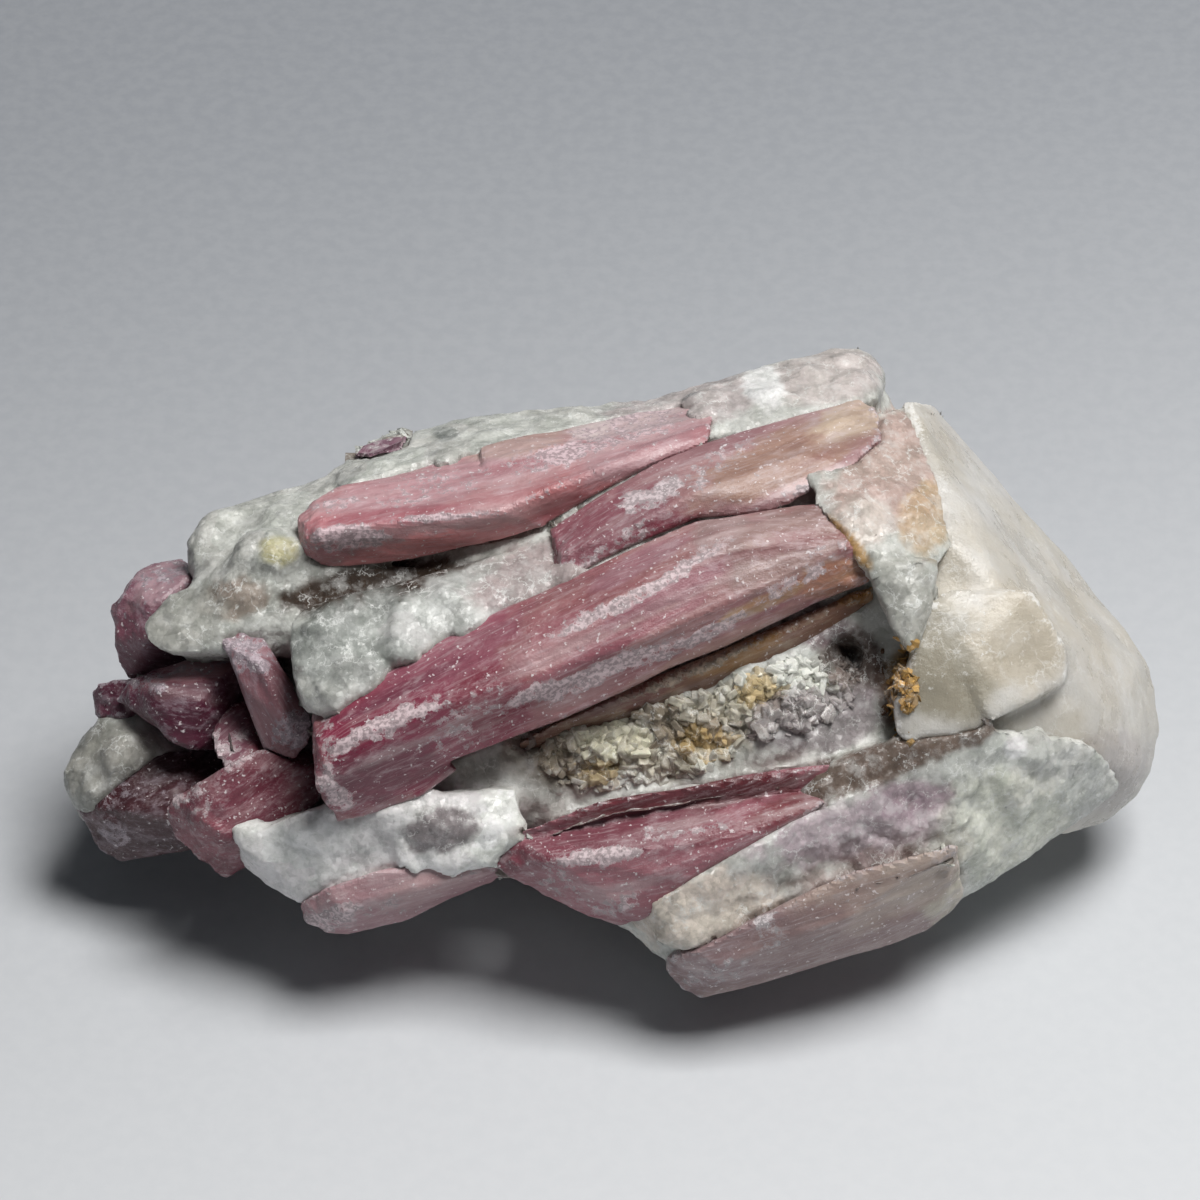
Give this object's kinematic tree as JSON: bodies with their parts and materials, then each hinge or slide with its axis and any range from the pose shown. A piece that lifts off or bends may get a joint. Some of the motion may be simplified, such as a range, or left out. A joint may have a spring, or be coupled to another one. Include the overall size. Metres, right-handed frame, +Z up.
{
  "type": "tourmaline crystal specimen in matrix",
  "caption": "Rough hand specimen of pink tourmaline prisms lying side by side in white feldspar, with a milky quartz end and a small flat to rest on.",
  "frame": {"origin": "bottom centre of the bounding box, on the surface the specimen rests on", "axes": "+X along the specimen from the broken crystal ends to the quartz end, +Y from the broken front face to the back, +Z up"},
  "size_m": [0.0918, 0.0522, 0.039],
  "materials": {
    "feldspar_rock": "rough",
    "milky_quartz": "satin",
    "magenta_tourmaline": "satin",
    "mauve_tourmaline": "satin",
    "salmon_tourmaline": "satin",
    "brown_tourmaline": "satin",
    "rose_tourmaline": "satin",
    "plum_tourmaline": "satin",
    "lavender_tourmaline": "satin"
  },
  "bodies": {
    "root": {"matrix": "feldspar_rock", "quartz_end": "milky_quartz", "main_crystal": "magenta_tourmaline", "ridge_crystal": "mauve_tourmaline", "upper_crystal": "salmon_tourmaline", "under_crystal": "brown_tourmaline", "lower_crystal": "rose_tourmaline", "front_crystal": "lavender_tourmaline", "corner_crystal": "rose_tourmaline", "stub_high": "plum_tourmaline", "stub_middle": "plum_tourmaline", "stub_front": "rose_tourmaline", "stub_low": "plum_tourmaline", "small_column": "plum_tourmaline", "rim_crystal": "mauve_tourmaline", "back_crystal_upper": "mauve_tourmaline", "back_crystal_lower": "rose_tourmaline", "sole_crystal": "plum_tourmaline"}
  },
  "joints": []
}
